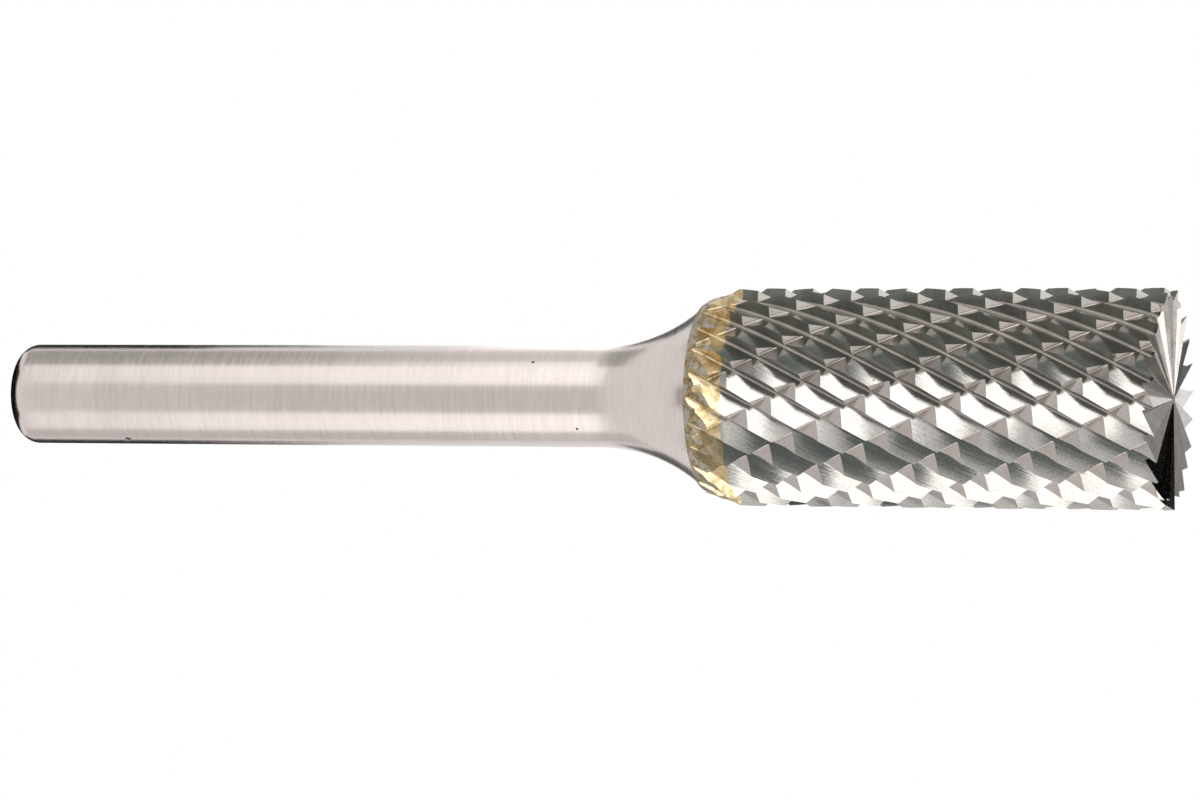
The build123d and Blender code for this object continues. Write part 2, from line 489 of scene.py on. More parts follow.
def ground_metal(name, colour, bloom_colour, turn, streak_mm, grain_mm, roughness, streak_bump, grain_bump,
                 bloom, metallic=1.0):
    material, tree = new_material(name)
    shader = tree.nodes["Principled BSDF"]
    place = node(tree, "ShaderNodeTexCoord").outputs["Object"]
    straight = helix_straightened(tree, place, turn)
    long = node(tree, VECTOR_MATH, (straight, (1, 1, STREAK_LENGTH)), operation="MULTIPLY")
    streaks = node(tree, NOISE, {
        "Vector": long, "Scale": 1 / (streak_mm * MM), "Detail": 3.0, "Roughness": 0.6})
    grain = node(tree, NOISE, {
        "Vector": place, "Scale": 1 / (grain_mm * MM), "Detail": 4.0, "Roughness": 0.7})
    cloud = node(tree, NOISE, {"Vector": place, "Scale": 1 / (CLOUD_MM * MM), "Detail": 2.0})
    cloud = node(tree, MATH, (cloud, CLOUD_SHARE), operation="MULTIPLY")
    both = node(tree, MATH, (grain, cloud), operation="ADD")
    amount = node(tree, MAP_RANGE, (both, BLOOM_NONE, BLOOM_FULL, 0.0, bloom))
    feeds = {"Factor": amount, "A": linear(colour), "B": linear(bloom_colour)}
    shade = node(tree, MIX, feeds, data_type="RGBA").outputs["Result"]
    feeds = {"Factor": flux_flecks(tree, place), "A": shade, "B": linear(FLECK_COLOUR)}
    shade = node(tree, MIX, feeds, data_type="RGBA").outputs["Result"]
    gloss = node(tree, MAP_RANGE, (
        streaks, NOISE_LOW, NOISE_HIGH, roughness * STREAK_SMOOTH, roughness * STREAK_ROUGH))
    rough = node(tree, "ShaderNodeBump", {"Height": grain, "Distance": MARK_DEPTH, "Strength": grain_bump})
    lines = node(tree, "ShaderNodeBump", {
        "Height": streaks, "Distance": MARK_DEPTH, "Strength": streak_bump, "Normal": rough})
    tree.links.new(shade, shader.inputs["Base Color"])
    tree.links.new(gloss.outputs[0], shader.inputs["Roughness"])
    tree.links.new(lines.outputs[0], shader.inputs["Normal"])
    shader.inputs["Metallic"].default_value = metallic
    return material


# %% [markdown]
# The wheel wears at its corner, so the root is the roughest part. The steep front under it is painted
# dark, as painted shade, and keeps a brown bloom from the grinding oil besides. The other faces are cleaner
# and brighter, each in its own way; the short side of a cross cut is painted light, as a painted highlight.

# %% The finishes of the carbide
# The long back of a flute: nearly a mirror, which shows the studio in light and dark bands
back_ground = ground_metal(
    "carbide_flute_back", "#b8b4af", "#8c8c88", TURN, streak_mm=0.12, grain_mm=0.16, roughness=0.17,
    streak_bump=0.4, grain_bump=0.25, bloom=0.3)
# The rounded root: satin, the same grey from everywhere
root_ground = ground_metal(
    "carbide_flute_root", "#a8a19c", "#948d88", TURN, streak_mm=0.08, grain_mm=0.1, roughness=0.5,
    streak_bump=0.3, grain_bump=0.2, bloom=0.7)
# The steep front: the darkest face, its dark colour painted shade, with a bloom of oil over it
front_painted_shade_and_oil = ground_metal(
    "carbide_flute_front_painted_shade", "#6f716a", "#5e605a", TURN, streak_mm=0.1, grain_mm=0.1, roughness=0.35,
    streak_bump=0.3, grain_bump=0.2, bloom=1.0)
# The long side of a cross cut: bright, with streaks along the other helix
cross_ground = ground_metal(
    "carbide_cross_cut", "#b2a9a5", "#a39a96", -TURN, streak_mm=0.16, grain_mm=0.1, roughness=0.2,
    streak_bump=0.2, grain_bump=0.1, bloom=0.5)
# The short side of a cross cut: painted lighter than the other faces, as a painted highlight, and only
# partly metallic, so part of the light is scattered as from paint
steep_painted_highlight = ground_metal(
    "carbide_cross_front_painted_highlight", "#dcd6d1", "#cbc4be", -TURN, streak_mm=0.1, grain_mm=0.1, roughness=0.35,
    streak_bump=0.2, grain_bump=0.1, bloom=0.6, metallic=0.4)
# The bottom of a cross cut: satin, as the flute's root
cross_root_ground = ground_metal(
    "carbide_cross_root", "#b4aca7", "#a09893", -TURN, streak_mm=0.1, grain_mm=0.1, roughness=0.4,
    streak_bump=0.2, grain_bump=0.1, bloom=0.6)
# The end gashes: the brightest mirror, ground straight across and last of all
end_ground = ground_metal(
    "carbide_end_cut", "#bdb6b1", "#96908b", 0.0, streak_mm=0.2, grain_mm=0.1, roughness=0.14,
    streak_bump=0.15, grain_bump=0.1, bloom=0.6)
HEAD_FINISHES = {
    BACK_FACE: back_ground, ROOT_FACE: root_ground, FRONT_FACE: front_painted_shade_and_oil, CROSS_FACE: cross_ground,
    CROSS_ROOT: cross_root_ground, CROSS_STEEP: steep_painted_highlight, END_FACE: end_ground,
}
print("finishes of the head:", *[finish.name for finish in HEAD_FINISHES.values()])

# %% [markdown]
# ## The cutting head
# The two bars are intersected, because a point of carbide is left only where neither wheel has passed. The
# end is then cut by one vee for each flute, which runs out to nothing at the centre. That cutter is a cube
# whose far side is pinched to an edge, repeated round the axis.

# %% Sizes of the head
GASH_DEPTH = 0.85    # at the rim
HEAD_SIZES = {
    "Head height": HEAD_TOP * MM, "Stand clear": 0.2 * MM, "Rings": 60, "Crease": math.radians(18),
    "Gashes": FLUTES, "First gash": math.radians(FLUTE_START + FLUTE_PITCH / 2),
    "Gash pitch": math.radians(FLUTE_PITCH), "Gash slope": GASH_DEPTH / HEAD_R, "Gash front share": 0.14,
    "Hub radius": 0.3 * MM, "Rim radius": (HEAD_R + CLEAR) * MM,
    "Gash below": 0.25,    # share of its depth that the cutter also reaches below the end
}
print(HEAD_SIZES["Gashes"], "gashes,", GASH_DEPTH, "mm deep at the rim")


# %% The end cutter
SAME_PLACE = 1e-7    # corners closer than this, in metres, are one point


def add_end_cutter(tree, given):
    """One vee along +X that deepens and widens with the distance from the axis."""
    cube = node(tree, "GeometryNodeMeshCube", {"Size": (1, 1, 1)})
    position = node(tree, "GeometryNodeInputPosition")
    x, y, z = node(tree, "ShaderNodeSeparateXYZ", (position,)).outputs
    top = node(tree, MATH, (z, 0.0), operation="GREATER_THAN")

    # Along the vee: from the hub to the rim
    through = node(tree, MATH, (x, 0.5), operation="ADD")
    span = node(tree, MATH, (given["Rim radius"], given["Hub radius"]), operation="SUBTRACT")
    reach = node(tree, MATH, (through, span, given["Hub radius"]), operation="MULTIPLY_ADD")

    # Across it: the top is pinched to the root, and the bottom is a little wider than the pitch
    width = node(tree, MATH, (reach, given["Gash pitch"]), operation="MULTIPLY")
    root = node(tree, MATH, (0.5, given["Gash front share"]), operation="SUBTRACT")
    wider = node(tree, MATH, (1.0, given["Gash below"]), operation="ADD")
    from_root = node(tree, MATH, (y, root), operation="SUBTRACT")
    low_y = node(tree, MATH, (from_root, wider, root), operation="MULTIPLY_ADD")
    side = node(tree, MIX, {"Factor": top, "A": low_y, "B": root})

    # Up it: the slope, and a share of it the other way
    down = node(tree, MATH, (given["Gash slope"], -1.0), operation="MULTIPLY")
    low_z = node(tree, MATH, (given["Gash below"], down), operation="MULTIPLY")
    height = node(tree, MIX, {"Factor": top, "A": low_z, "B": given["Gash slope"]})
    new_y = node(tree, MATH, (side, width), operation="MULTIPLY")
    new_z = node(tree, MATH, (height, reach), operation="MULTIPLY")
    place = node(tree, "ShaderNodeCombineXYZ", (reach, new_y, new_z))
    moved = node(tree, "GeometryNodeSetPosition", {"Geometry": cube, "Position": place})
    return node(tree, "GeometryNodeMergeByDistance", {"Geometry": moved, "Distance": SAME_PLACE})


def add_ring(tree, geometry, count, pitch, first_angle):
    """Copies of the geometry, turned about the axis in equal steps."""
    points = node(tree, "GeometryNodePoints", {"Count": count})
    index = node(tree, "GeometryNodeInputIndex")
    angle = node(tree, MATH, (index, pitch, first_angle), operation="MULTIPLY_ADD")
    turn = node(tree, "ShaderNodeCombineXYZ", {"Z": angle})
    feeds = {"Points": points, "Instance": geometry, "Rotation": turn}
    placed = node(tree, "GeometryNodeInstanceOnPoints", feeds)
    return node(tree, "GeometryNodeRealizeInstances", (placed,))


# %% Grind the head
def grind_head():
    tree = bpy.data.node_groups.new("grind_head", "GeometryNodeTree")
    given = named_inputs(tree, HEAD_SIZES)
    tree.interface.new_socket("Head", in_out="OUTPUT", socket_type="NodeSocketGeometry")
    flutes = add_bar(tree, "flutes", 0.0, given["Head height"], given["Rings"])
    below = node(tree, MATH, (given["Stand clear"], -1.0), operation="MULTIPLY")
    longer = node(tree, MATH, (given["Stand clear"], 2.0, given["Head height"]), operation="MULTIPLY_ADD")
    crosses = add_bar(tree, "cross cuts", below, longer, given["Rings"])
    feeds = {"Mesh 2": [flutes, crosses]}
    toothed = node(tree, BOOLEAN, feeds, operation="INTERSECT", solver="MANIFOLD")
    vee = add_end_cutter(tree, given)
    vees = add_ring(tree, vee, given["Gashes"], given["Gash pitch"], given["First gash"])
    feeds = {"Geometry": vees, "Name": "cut", "Value": END_FACE}
    cutter = node(tree, STORE, feeds, data_type="INT", domain="FACE")
    feeds = {"Mesh 1": toothed, "Mesh 2": [cutter]}
    ground = node(tree, BOOLEAN, feeds, operation="DIFFERENCE", solver="MANIFOLD")
    finished(tree, ground, HEAD_FINISHES, given["Crease"])
    return run_tree(tree, "carbide_head", HEAD_SIZES)


head = grind_head()
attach(head, "root")
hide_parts("cutting_head")

# %% [markdown]
# ## Turned bodies
# The shank and the braze are both round. Blender's Screw modifier could spin an outline, but then its poles
# need merging. This helper does what a lathe does in one go: it lays a ring of points at each height of the
# outline, and closes it at the axis with a single point.

# %% A lathe
def turned(name, outline, segments):
    """A closed body of revolution, from points of radius and height that start and end on the axis."""
    bm = bmesh.new()
    angles = [2 * math.pi * k / segments for k in range(segments)]
    rings = []
    for radius, height in outline:
        if radius == 0:
            rings.append([bm.verts.new((0, 0, height * MM))] * segments)
            continue
        places = [(radius * MM * math.cos(a), radius * MM * math.sin(a), height * MM) for a in angles]
        rings.append([bm.verts.new(place) for place in places])
    for low, high in zip(rings, rings[1:]):
        for k in range(segments):
            corners = [low[k - 1], low[k], high[k], high[k - 1]]
            bm.faces.new(list(dict.fromkeys(corners)))
    bmesh.ops.recalc_face_normals(bm, faces=bm.faces)
    mesh = bpy.data.meshes.new(name)
    bm.to_mesh(mesh)
    bm.free()
    print(name, "is turned with", len(outline), "rings and", len(mesh.polygons), "faces")
    return mesh


def arc(centre_r, centre_z, radius, first, last, steps):
    """Points along an arc of the outline, with angles from outwards towards the free end."""
    points = []
    for k in range(steps + 1):
        a = math.radians(first + (last - first) * k / steps)
        points.append((centre_r + radius * math.cos(a), centre_z + radius * math.sin(a)))
    return points


# %% [markdown]
# ## The shank
# It is turned from steel bar and ground between centres. The free end is rounded so that it slides into a
# collet. Next to the head the neck flares out in a hollow curve to the collar that the carbide is brazed
# on. Both curves are plain arcs, so their points are worked out from a radius and not drawn by hand.

# %% Shank outline
NECK_ARC = 10.0
NECK_STEPS = 24
END_ROUND = 1.1
END_STEPS = 12
COLLAR_R = 5.4
COLLAR_LOW = 25.5     # flat end of the collar, on the film of braze
SHANK_RINGS = 40
SHANK_SEGMENTS = 128
SHANK_CREASE = 35
neck_turn = math.degrees(math.acos(1 - (COLLAR_R - SHANK_R) / NECK_ARC))
neck_top = SEAM_TOP + NECK_ARC * math.sin(math.radians(neck_turn))
round_low = BURR_TOP - END_ROUND
shank_outline = [(0, COLLAR_LOW), (COLLAR_R, COLLAR_LOW)]
shank_outline += arc(SHANK_R + NECK_ARC, neck_top, NECK_ARC, 180 + neck_turn, 180, NECK_STEPS)
for k in range(1, SHANK_RINGS):
    shank_outline.append((SHANK_R, neck_top + (round_low - neck_top) * k / SHANK_RINGS))
shank_outline += arc(SHANK_R - END_ROUND, round_low, END_ROUND, 0, 90, END_STEPS)
shank_outline += [(0, BURR_TOP)]
print("the neck meets the shank at", round(neck_top, 2), "mm")

# %% [markdown]
# ## Steel, cylindrically ground
# Grinding leaves very fine marks round the shank and a satin sheen, in which lamps blur along the marks. So
# the noise is short in Z and long round the axis, and it varies both the roughness and a slight bump. The
# real marks are about a hundredth of a millimetre wide and are drawn far coarser, or they would not show. A
# few small pits, given by centre and radius in millimetres, are dark and dented.

# %% Ground steel
PITS = (
    (-2.71, -1.29, 63.55, 0.2), (2.0, -2.24, 37.58, 0.09), (-1.91, -2.31, 34.84, 0.09),
    (4.3, -2.12, 28.29, 0.1),
)
PIT_COLOUR = "#3a2f28"
PIT_DEPTH = 0.05
PIT_INNER = 0.6       # share of its radius from which a pit is fully dark
STEEL_COLOURS = ("#cbc1bc", "#d5cbc6")
STEEL_ROUGHNESS = (0.19, 0.25)
STEEL_CLOUD_MM = 2.5
FINE_SHARE = 0.6      # weight of the marks in the colour; the rest is the clouds'
FIRST_STEEL = 0.35    # marks and clouds together: the first colour below this
SECOND_STEEL = 0.65   # and the second above this
RING_MM = 0.22
RING_LENGTH = 0.12    # X and Y are squeezed to this, which draws the noise out round the axis
RING_BUMP = 0.12


def steel_pits(tree, place):
    """1 inside a pit and 0 outside them all."""
    pits = 0.0
    for x, y, z, radius in PITS:
        centre = (x * MM, y * MM, z * MM)
        away = node(tree, VECTOR_MATH, (place, centre), operation="DISTANCE").outputs["Value"]
        inside = node(tree, MAP_RANGE, (away, radius * MM, radius * PIT_INNER * MM, 0, 1))
        pits = node(tree, MATH, (pits, inside), operation="MAXIMUM")
    return pits


def ground_steel():
    material, tree = new_material("ground_steel_shank")
    shader = tree.nodes["Principled BSDF"]
    place = node(tree, "ShaderNodeTexCoord").outputs["Object"]
    short = node(tree, VECTOR_MATH, (place, (RING_LENGTH, RING_LENGTH, 1)), operation="MULTIPLY")
    rings = node(tree, NOISE, {
        "Vector": short, "Scale": 1 / (RING_MM * MM), "Detail": 4.0, "Roughness": 0.6})
    cloud = node(tree, NOISE, {"Vector": short, "Scale": 1 / (STEEL_CLOUD_MM * MM), "Detail": 2.0})
    pits = steel_pits(tree, place)
    fine = node(tree, MATH, (rings, FINE_SHARE), operation="MULTIPLY")
    broad = node(tree, MATH, (cloud, 1 - FINE_SHARE), operation="MULTIPLY")
    mixed = node(tree, MATH, (fine, broad), operation="ADD")
    amount = node(tree, MAP_RANGE, (mixed, FIRST_STEEL, SECOND_STEEL, 0, 1))
    feeds = {"Factor": amount, "A": linear(STEEL_COLOURS[0]), "B": linear(STEEL_COLOURS[1])}
    steel = node(tree, MIX, feeds, data_type="RGBA").outputs["Result"]
    feeds = {"Factor": pits, "A": steel, "B": linear(PIT_COLOUR)}
    steel = node(tree, MIX, feeds, data_type="RGBA").outputs["Result"]
    gloss = node(tree, MAP_RANGE, (rings, NOISE_LOW, NOISE_HIGH, *STEEL_ROUGHNESS))
    dents = node(tree, "ShaderNodeBump", {"Height": pits, "Distance": -PIT_DEPTH * MM, "Strength": 1.0})
    marks = node(tree, "ShaderNodeBump", {
        "Height": rings, "Distance": MARK_DEPTH, "Strength": RING_BUMP, "Normal": dents})
    tree.links.new(steel, shader.inputs["Base Color"])
    tree.links.new(gloss.outputs[0], shader.inputs["Roughness"])
    tree.links.new(marks.outputs[0], shader.inputs["Normal"])
    shader.inputs["Metallic"].default_value = 1.0
    return material


# %% Turn the shank
shank_mesh = turned("shank_turned", shank_outline, SHANK_SEGMENTS)
shank_mesh.shade_smooth()
shank_mesh.set_sharp_from_angle(angle=math.radians(SHANK_CREASE))
shank_mesh.materials.append(ground_steel())
shank = bpy.data.objects.new("ground_shank", shank_mesh)
bpy.context.collection.objects.link(shank)
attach(shank, "root")
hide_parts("shank")

# %% [markdown]
# ## The braze
# A ring of filler was melted between the carbide and the steel, and a fillet of it froze up the side of the
# collar. Near the head the wheels that cut the teeth ran on into it, so there it has the same teeth, in
# gold. Further back it is as it froze, lumpy and stained by the flux. So the blank is turned, the part that
# no wheel touched is pushed about by a noise, and then the same two bars are intersected with it.

# %% Braze blank
BEVEL_R = 6.0
BEVEL_TOP = 26.2
BEVEL_SLOPE = 0.35 / 0.6    # the bevel comes down 0.35 mm in 0.6 mm
SEAM_LIP = 0.1              # thickness of the braze where it ends
BEVEL_STEPS = 10
FILLET_STEPS = 16
BRAZE_SEGMENTS = 360


def straight(first, last, steps):
    return [tuple(a + (b - a) * k / steps for a, b in zip(first, last)) for k in range(1, steps + 1)]


braze_outline = [(0, HEAD_TOP), (BEVEL_R + BEVEL_SLOPE * (BEVEL_TOP - HEAD_TOP), HEAD_TOP)]
braze_outline += straight(braze_outline[-1], (BEVEL_R, BEVEL_TOP), BEVEL_STEPS)
braze_outline += straight((BEVEL_R, BEVEL_TOP), (COLLAR_R + SEAM_LIP, SEAM_TOP), FILLET_STEPS)
braze_outline += [(COLLAR_R, SEAM_TOP), (COLLAR_R, COLLAR_LOW), (0, COLLAR_LOW)]
print("the braze reaches radius", round(braze_outline[1][0], 2), "mm at the head")

# %% [markdown]
# ## Brazing filler
# It is a brass-like alloy, gold where a wheel has cut it and dull brown to grey where it froze and the flux
# stained it. Both are the same material in two states, so one function makes both: three tones laid by two
# noises, with lumps of the same size as the tones.

# %% Cut and raw filler
CLOUD_OF_GRAINS = 3    # how many times as large as the grain the clouds are
FIRST_TONE = 0.38      # grain: the first tone below this
SECOND_TONE = 0.6      # and the second above this
THIRD_NONE = 0.46      # clouds: none of the third tone below this
THIRD_FULL = 0.56      # and the most of it above this
THIRD_SHARE = 0.8      # the most of it
GRAIN_ROUGH = 1.2      # the grain takes the roughness from this share of it
GRAIN_SMOOTH = 0.8     # to this one
LUMP_DEPTH = 0.03 * MM


def filler(name, colours, grain_mm, roughness, bump):
    material, tree = new_material(name)
    shader = tree.nodes["Principled BSDF"]
    low, middle, high = (linear(colour) for colour in colours)
    place = node(tree, "ShaderNodeTexCoord").outputs["Object"]
    grain = node(tree, NOISE, {
        "Vector": place, "Scale": 1 / (grain_mm * MM), "Detail": 4.0, "Roughness": 0.65})
    cloud_mm = CLOUD_OF_GRAINS * grain_mm
    cloud = node(tree, NOISE, {"Vector": place, "Scale": 1 / (cloud_mm * MM), "Detail": 2.0})
    amount = node(tree, MAP_RANGE, (grain, FIRST_TONE, SECOND_TONE, 0, 1))
    feeds = {"Factor": amount, "A": low, "B": middle}
    tone = node(tree, MIX, feeds, data_type="RGBA").outputs["Result"]
    amount = node(tree, MAP_RANGE, (cloud, THIRD_NONE, THIRD_FULL, 0, THIRD_SHARE))
    feeds = {"Factor": amount, "A": tone, "B": high}
    tone = node(tree, MIX, feeds, data_type="RGBA").outputs["Result"]
    gloss = node(tree, MAP_RANGE, (
        grain, NOISE_LOW, NOISE_HIGH, roughness * GRAIN_ROUGH, roughness * GRAIN_SMOOTH))
    lumps = node(tree, "ShaderNodeBump", {"Height": grain, "Distance": LUMP_DEPTH, "Strength": bump})
    tree.links.new(tone, shader.inputs["Base Color"])
    tree.links.new(gloss.outputs[0], shader.inputs["Roughness"])
    tree.links.new(lumps.outputs[0], shader.inputs["Normal"])
    shader.inputs["Metallic"].default_value = 1.0
    return material


# Bright gold, where the teeth were ground through it
braze_cut = filler(
    "braze_ground_with_the_teeth", ("#a58e69", "#c8b28a", "#d8c8a8"), grain_mm=0.3, roughness=0.3, bump=0.3)
# Dull and stained, where it froze
braze_raw = filler(
    "braze_as_it_froze", ("#6b5d48", "#a48f6a", "#a59f97"), grain_mm=0.22, roughness=0.42, bump=0.9)
cut_faces = (BACK_FACE, ROOT_FACE, FRONT_FACE, CROSS_FACE, CROSS_ROOT, CROSS_STEEP)
BRAZE_FINISHES = {RAW_FACE: braze_raw, **{face: braze_cut for face in cut_faces}}
print("finishes of the braze:", braze_raw.name, "and", braze_cut.name)

# %% Sizes of the braze
BRAZE_SIZES = {
    "Bar bottom": (HEAD_TOP - 0.5) * MM, "Bar length": 3.5 * MM, "Rings": 12, "Crease": math.radians(30),
    "Lumps from": 26.0 * MM, "Lumps full at": 26.5 * MM, "Lumps end": SEAM_TOP * MM, "Lip": 0.25 * MM,
    "Collar radius": (COLLAR_R + 0.02) * MM, "Lump scale": 1 / (0.55 * MM),
    "Lowest": -0.04 * MM, "Highest": 0.12 * MM,
}


# %% Grind the braze
def frozen_lumps(tree, given):
    """How far each point of the raw braze is pushed outwards; none at its ends and on the collar."""
    place = node(tree, "GeometryNodeInputPosition")
    z = node(tree, "ShaderNodeSeparateXYZ", (place,)).outputs["Z"]
    outwards = node(tree, VECTOR_MATH, (place, (1, 1, 0)), operation="MULTIPLY")
    reach = node(tree, VECTOR_MATH, (outwards,), operation="LENGTH").outputs["Value"]
    unit = node(tree, VECTOR_MATH, (outwards,), operation="NORMALIZE")
    noise = node(tree, NOISE, {
        "Vector": place, "Scale": given["Lump scale"], "Detail": 3.0, "Roughness": 0.55})
    lump = node(tree, MAP_RANGE, (noise, NOISE_LOW, NOISE_HIGH, given["Lowest"], given["Highest"]))
    lip = node(tree, MATH, (given["Lumps end"], given["Lip"]), operation="SUBTRACT")
    rise = node(tree, MAP_RANGE, (z, given["Lumps from"], given["Lumps full at"], 0, 1))
    fall = node(tree, MAP_RANGE, (z, given["Lumps end"], lip, 0, 1))
    free = node(tree, MATH, (rise, fall), operation="MULTIPLY")
    outside = node(tree, MATH, (reach, given["Collar radius"]), operation="GREATER_THAN")
    free = node(tree, MATH, (free, outside), operation="MULTIPLY")
    push = node(tree, MATH, (lump, free), operation="MULTIPLY")
    return node(tree, VECTOR_MATH, {0: unit, "Scale": push}, operation="SCALE")


def grind_braze():
    tree = bpy.data.node_groups.new("grind_braze", "GeometryNodeTree")
    tree.interface.new_socket("Blank", in_out="INPUT", socket_type="NodeSocketGeometry")
    given = named_inputs(tree, BRAZE_SIZES)
    tree.interface.new_socket("Braze", in_out="OUTPUT", socket_type="NodeSocketGeometry")
    feeds = {"Geometry": given["Blank"], "Offset": frozen_lumps(tree, given)}
    lumpy = node(tree, "GeometryNodeSetPosition", feeds)
    feeds = {"Geometry": lumpy, "Name": "cut", "Value": RAW_FACE}
    raw = node(tree, STORE, feeds, data_type="INT", domain="FACE")
    bars = [add_bar(tree, cut, given["Bar bottom"], given["Bar length"], given["Rings"])
            for cut in ("flutes", "cross cuts")]
    feeds = {"Mesh 2": [raw, *bars]}
    ground = node(tree, BOOLEAN, feeds, operation="INTERSECT", solver="MANIFOLD")
    finished(tree, ground, BRAZE_FINISHES, given["Crease"])
    return run_tree(tree, "braze_seam", BRAZE_SIZES, turned("braze_blank", braze_outline, BRAZE_SEGMENTS))


braze = grind_braze()
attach(braze, "root")
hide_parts("braze_joint")

# %% [markdown]
# ## The camera
# It looks at the burr from a little below the end teeth and is turned on its side, so that the axis runs
# across the frame and the end teeth show. The lens is long, because a close camera would make the near teeth
# too large. From here on lengths are in metres, as the scene's own are, and angles stay in degrees.

# %% Camera
CAMERA_PLACE = (-0.00021, -0.27733, -0.05052)
CAMERA_TURN = (179.0548, 73.0206, 89.0117)
SENSOR_MM = 36.0
LENS_MM = 147.6
camera = bpy.data.objects.new("camera", bpy.data.cameras.new("camera"))
bpy.context.collection.objects.link(camera)
bpy.context.scene.camera = camera
camera.location = CAMERA_PLACE
camera.rotation_euler = [math.radians(a) for a in CAMERA_TURN]
camera.data.sensor_width = SENSOR_MM
camera.data.lens = LENS_MM
camera.data.clip_start = 0.01
print("the camera stands", round(Vector(CAMERA_PLACE).length / MM), "mm from the end teeth")

# %% [markdown]
# ## The world
# The background and what the metal mirrors are plain white, at a strength of 1. What the world sheds as
# light is set apart from that by the kind of ray, and is a little weaker, so that pale faces do not clip.

# %% World
FILL = 0.8
scene = bpy.context.scene
scene.view_settings.view_transform = "Standard"
scene.world = bpy.data.worlds.new("studio")
scene.world.use_nodes = True
sky = scene.world.node_tree
sky.nodes.clear()
rays = node(sky, "ShaderNodeLightPath").outputs
seen = node(sky, MATH, (rays["Is Camera Ray"], rays["Is Glossy Ray"]), operation="MAXIMUM")
seen = node(sky, MATH, (seen, rays["Is Transmission Ray"]), operation="MAXIMUM")
fill = node(sky, "ShaderNodeBackground", {"Color": (1, 1, 1, 1), "Strength": FILL})
white = node(sky, "ShaderNodeBackground", {"Color": (1, 1, 1, 1), "Strength": 1.0})
both = node(sky, "ShaderNodeMixShader", (seen, fill, white))
node(sky, "ShaderNodeOutputWorld", {"Surface": both})
print("the world fills with", FILL, "and shows as 1")

# %% [markdown]
# ## The soft boxes
# A polished metal shows what stands round it and little else. Two soft boxes stand on either side of the
# camera and make the bright bands along the shank and the bright teeth, and a fainter pair stands above
# them for the far end. They could be large emitting planes, but an area light is sampled better.
#
# A place round the burr is given by its angle from the camera's side, towards +X when positive.

# %% Soft boxes
BOX_DISTANCE = 0.5
# name: first and last angle, low and high edge, radiance
SOFT_BOXES = {
    "soft_box_upper": (26, 84, -0.24, 0.15, 1.55),
    "soft_box_lower": (-88, -40, -0.24, 0.15, 1.5),
    "soft_box_upper_top": (24, 84, 0.15, 0.27, 0.42),
    "soft_box_lower_top": (-88, -38, 0.15, 0.27, 0.42),
}

# The boxes light the burr alone, because where one stands on the floor it would leave a bright patch
lit = bpy.data.collections.new("lit_by_the_soft_boxes")
for piece in (head, braze, shank):
    lit.objects.link(piece)


def round_the_burr(angle, distance, height=0.0):
    a = math.radians(angle)
    return Vector((distance * math.sin(a), -distance * math.cos(a), height))


for name, (first, last, low, high, radiance) in SOFT_BOXES.items():
    middle = (first + last) / 2
    width = 2 * BOX_DISTANCE * math.tan(math.radians(last - first) / 2)
    light = bpy.data.lights.new(name, "AREA")
    light.shape = "RECTANGLE"
    light.size = width
    light.size_y = high - low
    light.energy = radiance * math.pi * width * (high - low)
    box = bpy.data.objects.new(name, light)
    bpy.context.collection.objects.link(box)
    box.location = round_the_burr(middle, BOX_DISTANCE, (low + high) / 2)
    box.rotation_euler = round_the_burr(middle, 1).to_track_quat("Z", "Y").to_euler()
    box.visible_camera = False
    box.light_linking.receiver_collection = lit
    print(name, "is", round(width, 2), "by", round(high - low, 2), "m")

# %% [markdown]
# ## The cards
# Between the boxes stand cards that only reflections see. The grey and dark ones draw the dark sides of the
# teeth and the dark edges of the shank, and the pale ones soften the change from box to card. A card that
# only had a dark colour would need light to show its tone, so each one glows at just the level that the
# metal should show. None of them is seen by the camera, casts a shadow or lights anything.

# %% Card makers
CARD_STEPS = 12


def glow(name, level, strength):
    material, tree = new_material(name)
    tree.nodes.clear()
    shine = node(tree, "ShaderNodeEmission", {"Color": linear(level), "Strength": strength})
    node(tree, "ShaderNodeOutputMaterial", {"Surface": shine})
    return material


def stage_card(name, bm, level, strength):
    mesh = bpy.data.meshes.new(name)
    bm.to_mesh(mesh)
    bm.free()
    mesh.materials.append(glow(name, level, strength))
    made = bpy.data.objects.new(name, mesh)
    bpy.context.collection.objects.link(made)
    made.visible_camera = False
    made.visible_shadow = False
    made.visible_diffuse = False


def curved_card(name, first, last, low, high, distance, level, strength=1.0):
    bm = bmesh.new()
    rows = []
    for height in (low, high):
        angles = [first + (last - first) * k / CARD_STEPS for k in range(CARD_STEPS + 1)]
        rows.append([bm.verts.new(round_the_burr(angle, distance, height)) for angle in angles])
    for k in range(CARD_STEPS):
        bm.faces.new((rows[0][k], rows[0][k + 1], rows[1][k + 1], rows[1][k]))
    stage_card(name, bm, level, strength)


def flat_card(name, x_range, y_range, height, level):
    low_x, high_x = x_range
    low_y, high_y = y_range
    bm = bmesh.new()
    corners = ((low_x, low_y), (high_x, low_y), (high_x, high_y), (low_x, high_y))
    bm.faces.new([bm.verts.new((x, y, height)) for x, y in corners])
    stage_card(name, bm, level, 1.0)


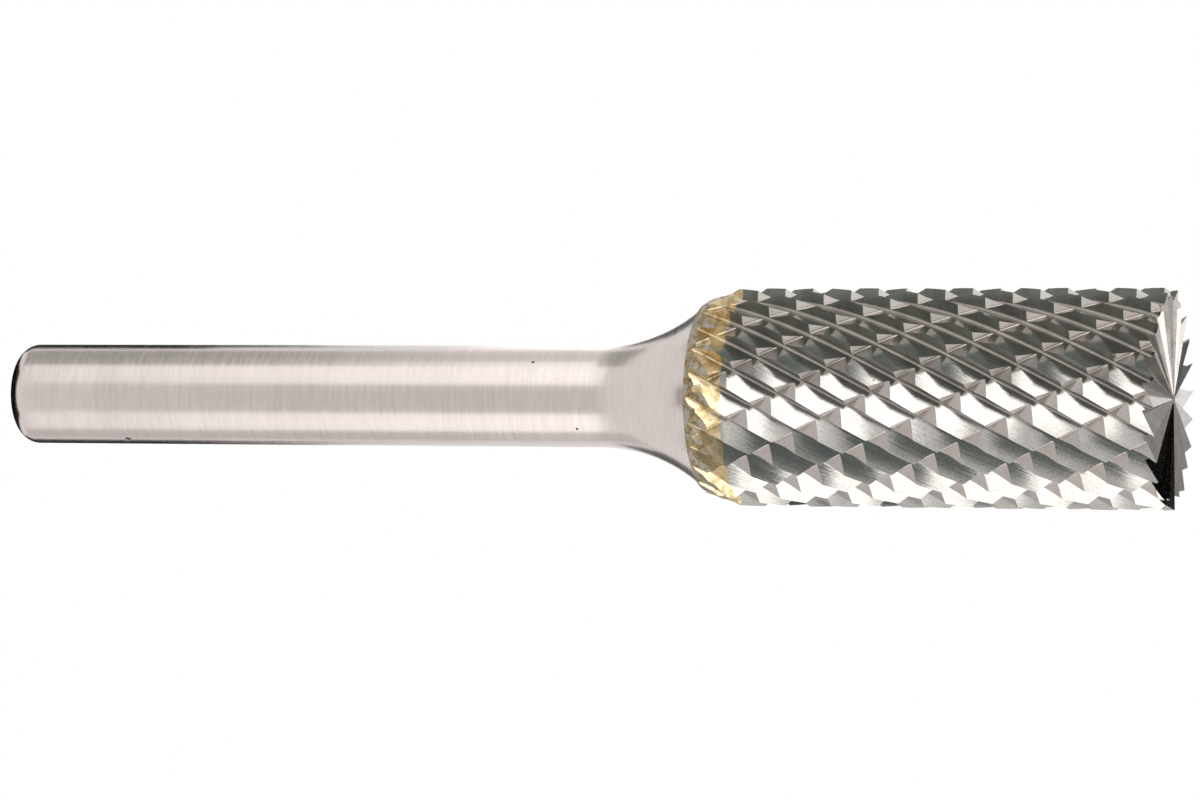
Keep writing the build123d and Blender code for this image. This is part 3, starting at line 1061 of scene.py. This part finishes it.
# %% Cards
# name, first and last angle, low and high edge, distance, level, and a strength where it is over white
CURVED_CARDS = (
    # Between the two boxes: the dark band of the teeth that face the camera
    ("card_front", -38, 10, -0.12, 0.055, 0.35, "#727a79"),
    # Beyond the upper box: the grey of the rows that turn away, lighter towards the shank
    ("card_right", 90, 150, -0.14, 0.01, 0.35, "#7a8482"),
    ("card_right_high", 90, 150, 0.01, 0.09, 0.34, "#a2aaa7"),
    ("card_right_top", 72, 122, 0.17, 0.29, 0.35, "#b4b6b4"),
    # Beyond the lower box: the dark line along the shank's lower edge
    ("card_left", -132, -109, -0.015, 0.09, 0.35, "#303230"),
    # Pale ones for the soft bands at the free end
    ("card_front_top", -40, 24, 0.12, 0.22, 0.35, "#e4e4e4"),
    ("card_left_top", -124, -91, 0.14, 0.29, 0.35, "#dadada"),
    # Low down: the short sides of the cross cuts, which face the end
    ("card_low", -76, -28, -0.36, -0.16, 0.35, "#a4a6a4"),
    # Behind: the shank's upper edge, and close by the rounded rim of its free end
    ("card_behind", 140, 226, 0.18, 0.3, 0.35, "#5a5c5b"),
    ("card_close_behind", 128, 232, 0.0695, 0.092, 0.03, "#101111"),
    ("bright_behind", 126, 172, 0.058, 0.09, 0.15, "#ffffff", 1.6),
)
# name, range in X and in Y, height, level
FLAT_CARDS = (
    ("card_over_the_end", (-0.005, 0.005), (-0.005, 0.005), 0.0748, "#060606"),
    # Below: the grey of the end gashes, and the black of those that look straight down
    ("card_under", (-0.5, 0.5), (-0.06, 0.7), -0.26, "#b4b6b4"),
    ("card_under_dark", (-0.03, 0.2), (-0.06, 0.2), -0.2, "#101010"),
)
for values in CURVED_CARDS:
    curved_card(*values)
for values in FLAT_CARDS:
    flat_card(*values)
print(len(CURVED_CARDS), "curved cards and", len(FLAT_CARDS), "flat ones")

# %% [markdown]
# ## The floor
# A sheet of pale paper under the end teeth takes the burr's soft shadow. The camera is below it, so its
# back is clear: the Backfacing output tells the material which side is seen. It is left out of reflections
# as well, because the end teeth would mirror nothing else.

# %% Floor
FLOOR_HALF = 2
PAPER_COLOUR = "#f2f1ef"
corners = [(-FLOOR_HALF, -FLOOR_HALF, 0), (FLOOR_HALF, -FLOOR_HALF, 0),
           (FLOOR_HALF, FLOOR_HALF, 0), (-FLOOR_HALF, FLOOR_HALF, 0)]
floor_mesh = bpy.data.meshes.new("floor")
floor_mesh.from_pydata(corners, [], [(0, 1, 2, 3)])
floor = bpy.data.objects.new("floor", floor_mesh)
bpy.context.collection.objects.link(floor)
paper, tree = new_material("pale_floor")
tree.nodes.clear()
below = node(tree, "ShaderNodeNewGeometry").outputs["Backfacing"]
matt = node(tree, "ShaderNodeBsdfDiffuse", {"Color": linear(PAPER_COLOUR)})
clear = node(tree, "ShaderNodeBsdfTransparent")
sheet = node(tree, "ShaderNodeMixShader", (below, matt, clear))
node(tree, "ShaderNodeOutputMaterial", {"Surface": sheet})
floor_mesh.materials.append(paper)
floor.visible_glossy = False
floor.visible_diffuse = False
floor.visible_transmission = False
floor.visible_shadow = False
print("the floor is", 2 * FLOOR_HALF, "m wide")
